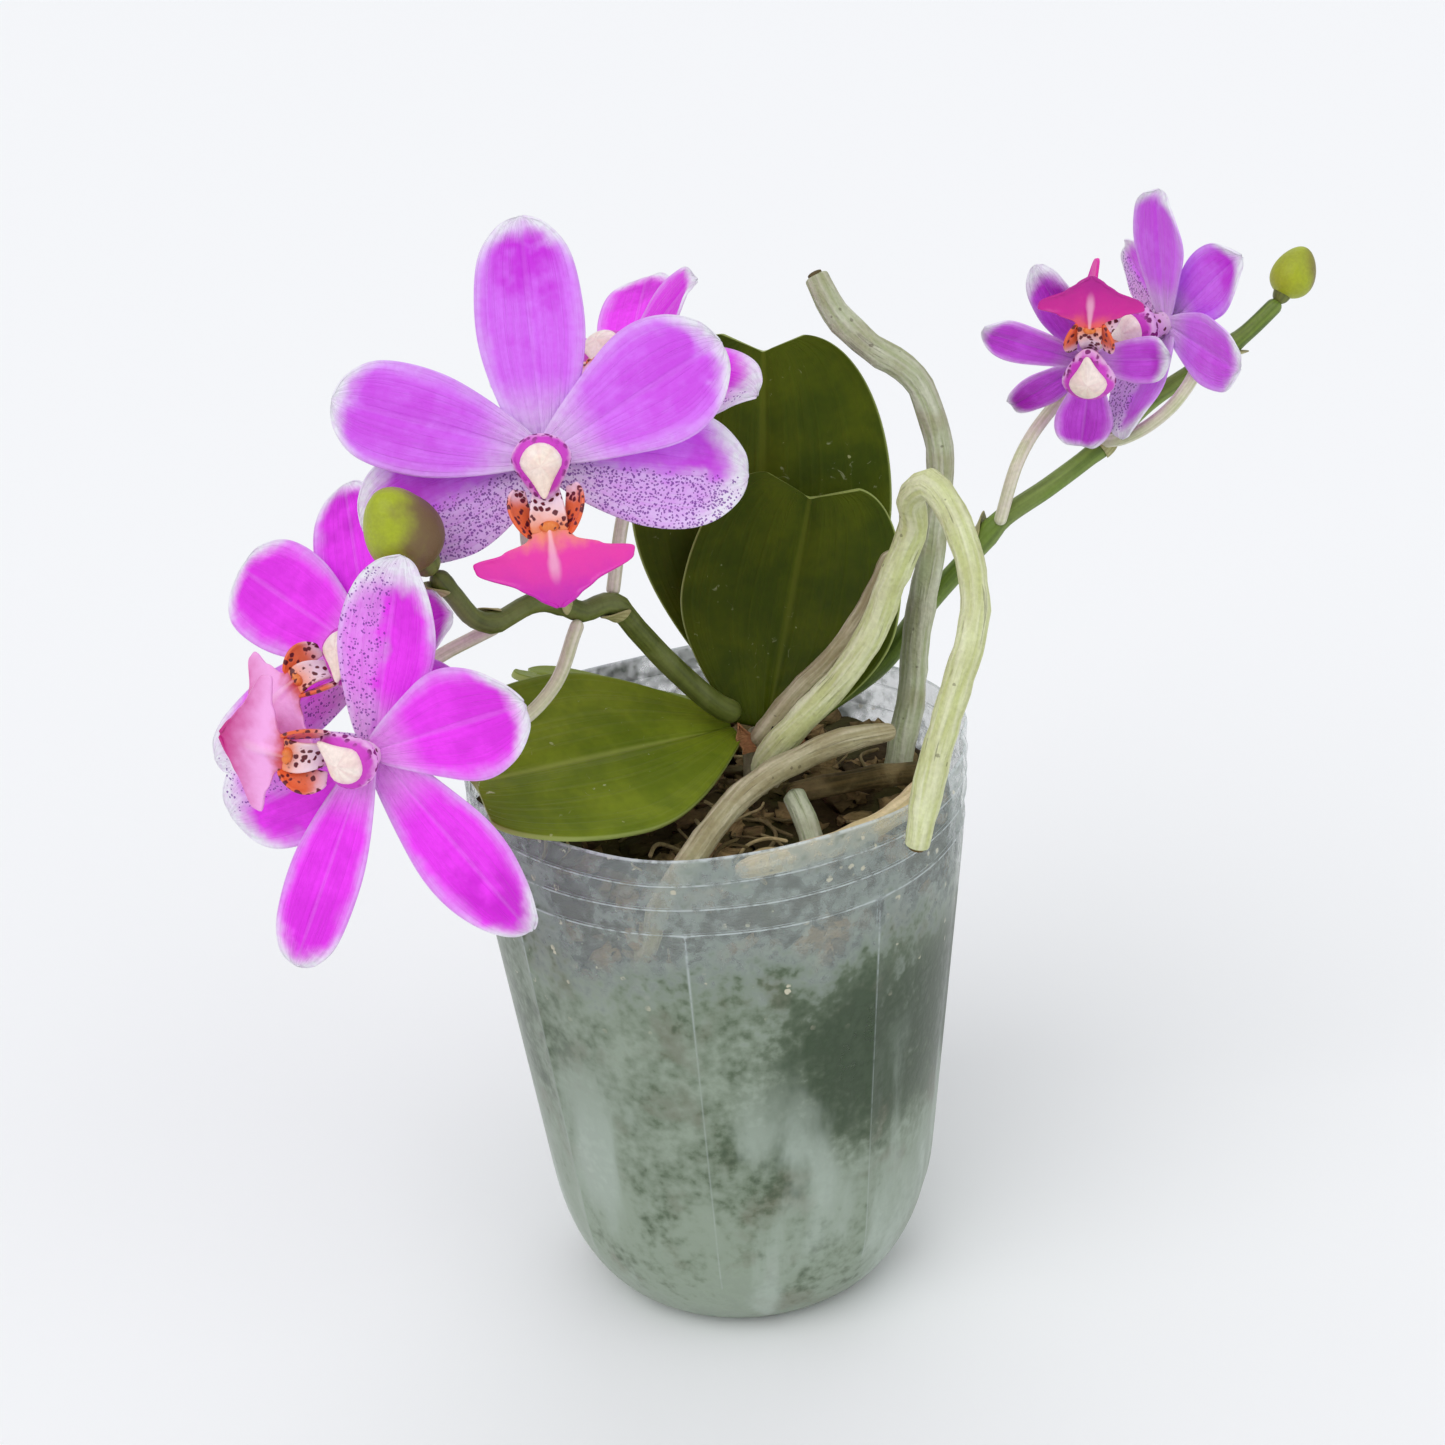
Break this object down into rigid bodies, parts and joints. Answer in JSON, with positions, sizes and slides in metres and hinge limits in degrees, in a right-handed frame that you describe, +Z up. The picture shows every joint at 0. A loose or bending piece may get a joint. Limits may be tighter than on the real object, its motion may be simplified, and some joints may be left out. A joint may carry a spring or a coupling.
{
  "type": "potted orchid",
  "caption": "Moth orchid with purple speckled flowers, thick leaves and aerial roots, growing in bark in a clear plastic nursery pot.",
  "frame": {"origin": "middle of the underside of the pot, on the surface that it stands on", "axes": "+Z up along the pot's axis; -Y is the side that the front flower faces; +X is to the right of that view"},
  "size_m": [0.1925, 0.1048, 0.2031],
  "materials": {
    "clear_film": "thin clear polypropylene, cloudy with algae and lime",
    "bark": "rough damp bark chips and moss",
    "stem": "short fibrous plant stem",
    "root": "matt silvery green root skin",
    "old_root": "dry brown root",
    "leaf": "thick waxy leaf, satin, dark olive",
    "young_leaf": "thick waxy leaf, satin, mid green",
    "spike": "smooth green flower stem",
    "bud": "yellow green bud flushed brown",
    "petal": "soft velvety petal, lilac to magenta with white edges and dark specks",
    "lip": "waxy magenta lip with an orange speckled throat",
    "stalk_and_column": "pale waxy stalk and cream column"
  },
  "bodies": {
    "root": {"pot": "clear_film", "bark_and_moss": "bark", "stem": "stem", "tall_air_root": "root", "arching_air_root": "root", "upper_root": "root", "crossing_root": "root", "surface_root": "old_root", "rim_root": "root", "side_root": "root", "upper_front_leaf": "leaf", "upper_rear_leaf": "leaf", "lower_left_leaf": "young_leaf", "lower_rear_leaf": "young_leaf", "left_flower_spike": "spike", "right_flower_spike": "spike", "left_bud": "bud", "right_bud": "bud", "front_flower_dorsal_sepal": "petal", "front_flower_left_sepal": "petal", "front_flower_right_sepal": "petal", "front_flower_left_petal": "petal", "front_flower_right_petal": "petal", "front_flower_lip": "lip", "front_flower_column": "stalk_and_column", "upper_left_flower_dorsal_sepal": "petal", "upper_left_flower_left_sepal": "petal", "upper_left_flower_right_sepal": "petal", "upper_left_flower_left_petal": "petal", "upper_left_flower_right_petal": "petal", "upper_left_flower_lip": "lip", "upper_left_flower_column": "stalk_and_column", "lower_left_flower_dorsal_sepal": "petal", "lower_left_flower_left_sepal": "petal", "lower_left_flower_right_sepal": "petal", "lower_left_flower_left_petal": "petal", "lower_left_flower_right_petal": "petal", "lower_left_flower_lip": "lip", "lower_left_flower_column": "stalk_and_column", "rear_flower_dorsal_sepal": "petal", "rear_flower_left_sepal": "petal", "rear_flower_right_sepal": "petal", "rear_flower_left_petal": "petal", "rear_flower_right_petal": "petal", "rear_flower_lip": "lip", "rear_flower_column": "stalk_and_column", "right_flower_dorsal_sepal": "petal", "right_flower_left_sepal": "petal", "right_flower_right_sepal": "petal", "right_flower_left_petal": "petal", "right_flower_right_petal": "petal", "right_flower_lip": "lip", "right_flower_column": "stalk_and_column", "end_flower_dorsal_sepal": "petal", "end_flower_left_sepal": "petal", "end_flower_right_sepal": "petal", "end_flower_left_petal": "petal", "end_flower_right_petal": "petal", "end_flower_lip": "lip", "end_flower_column": "stalk_and_column"}
  },
  "joints": []
}
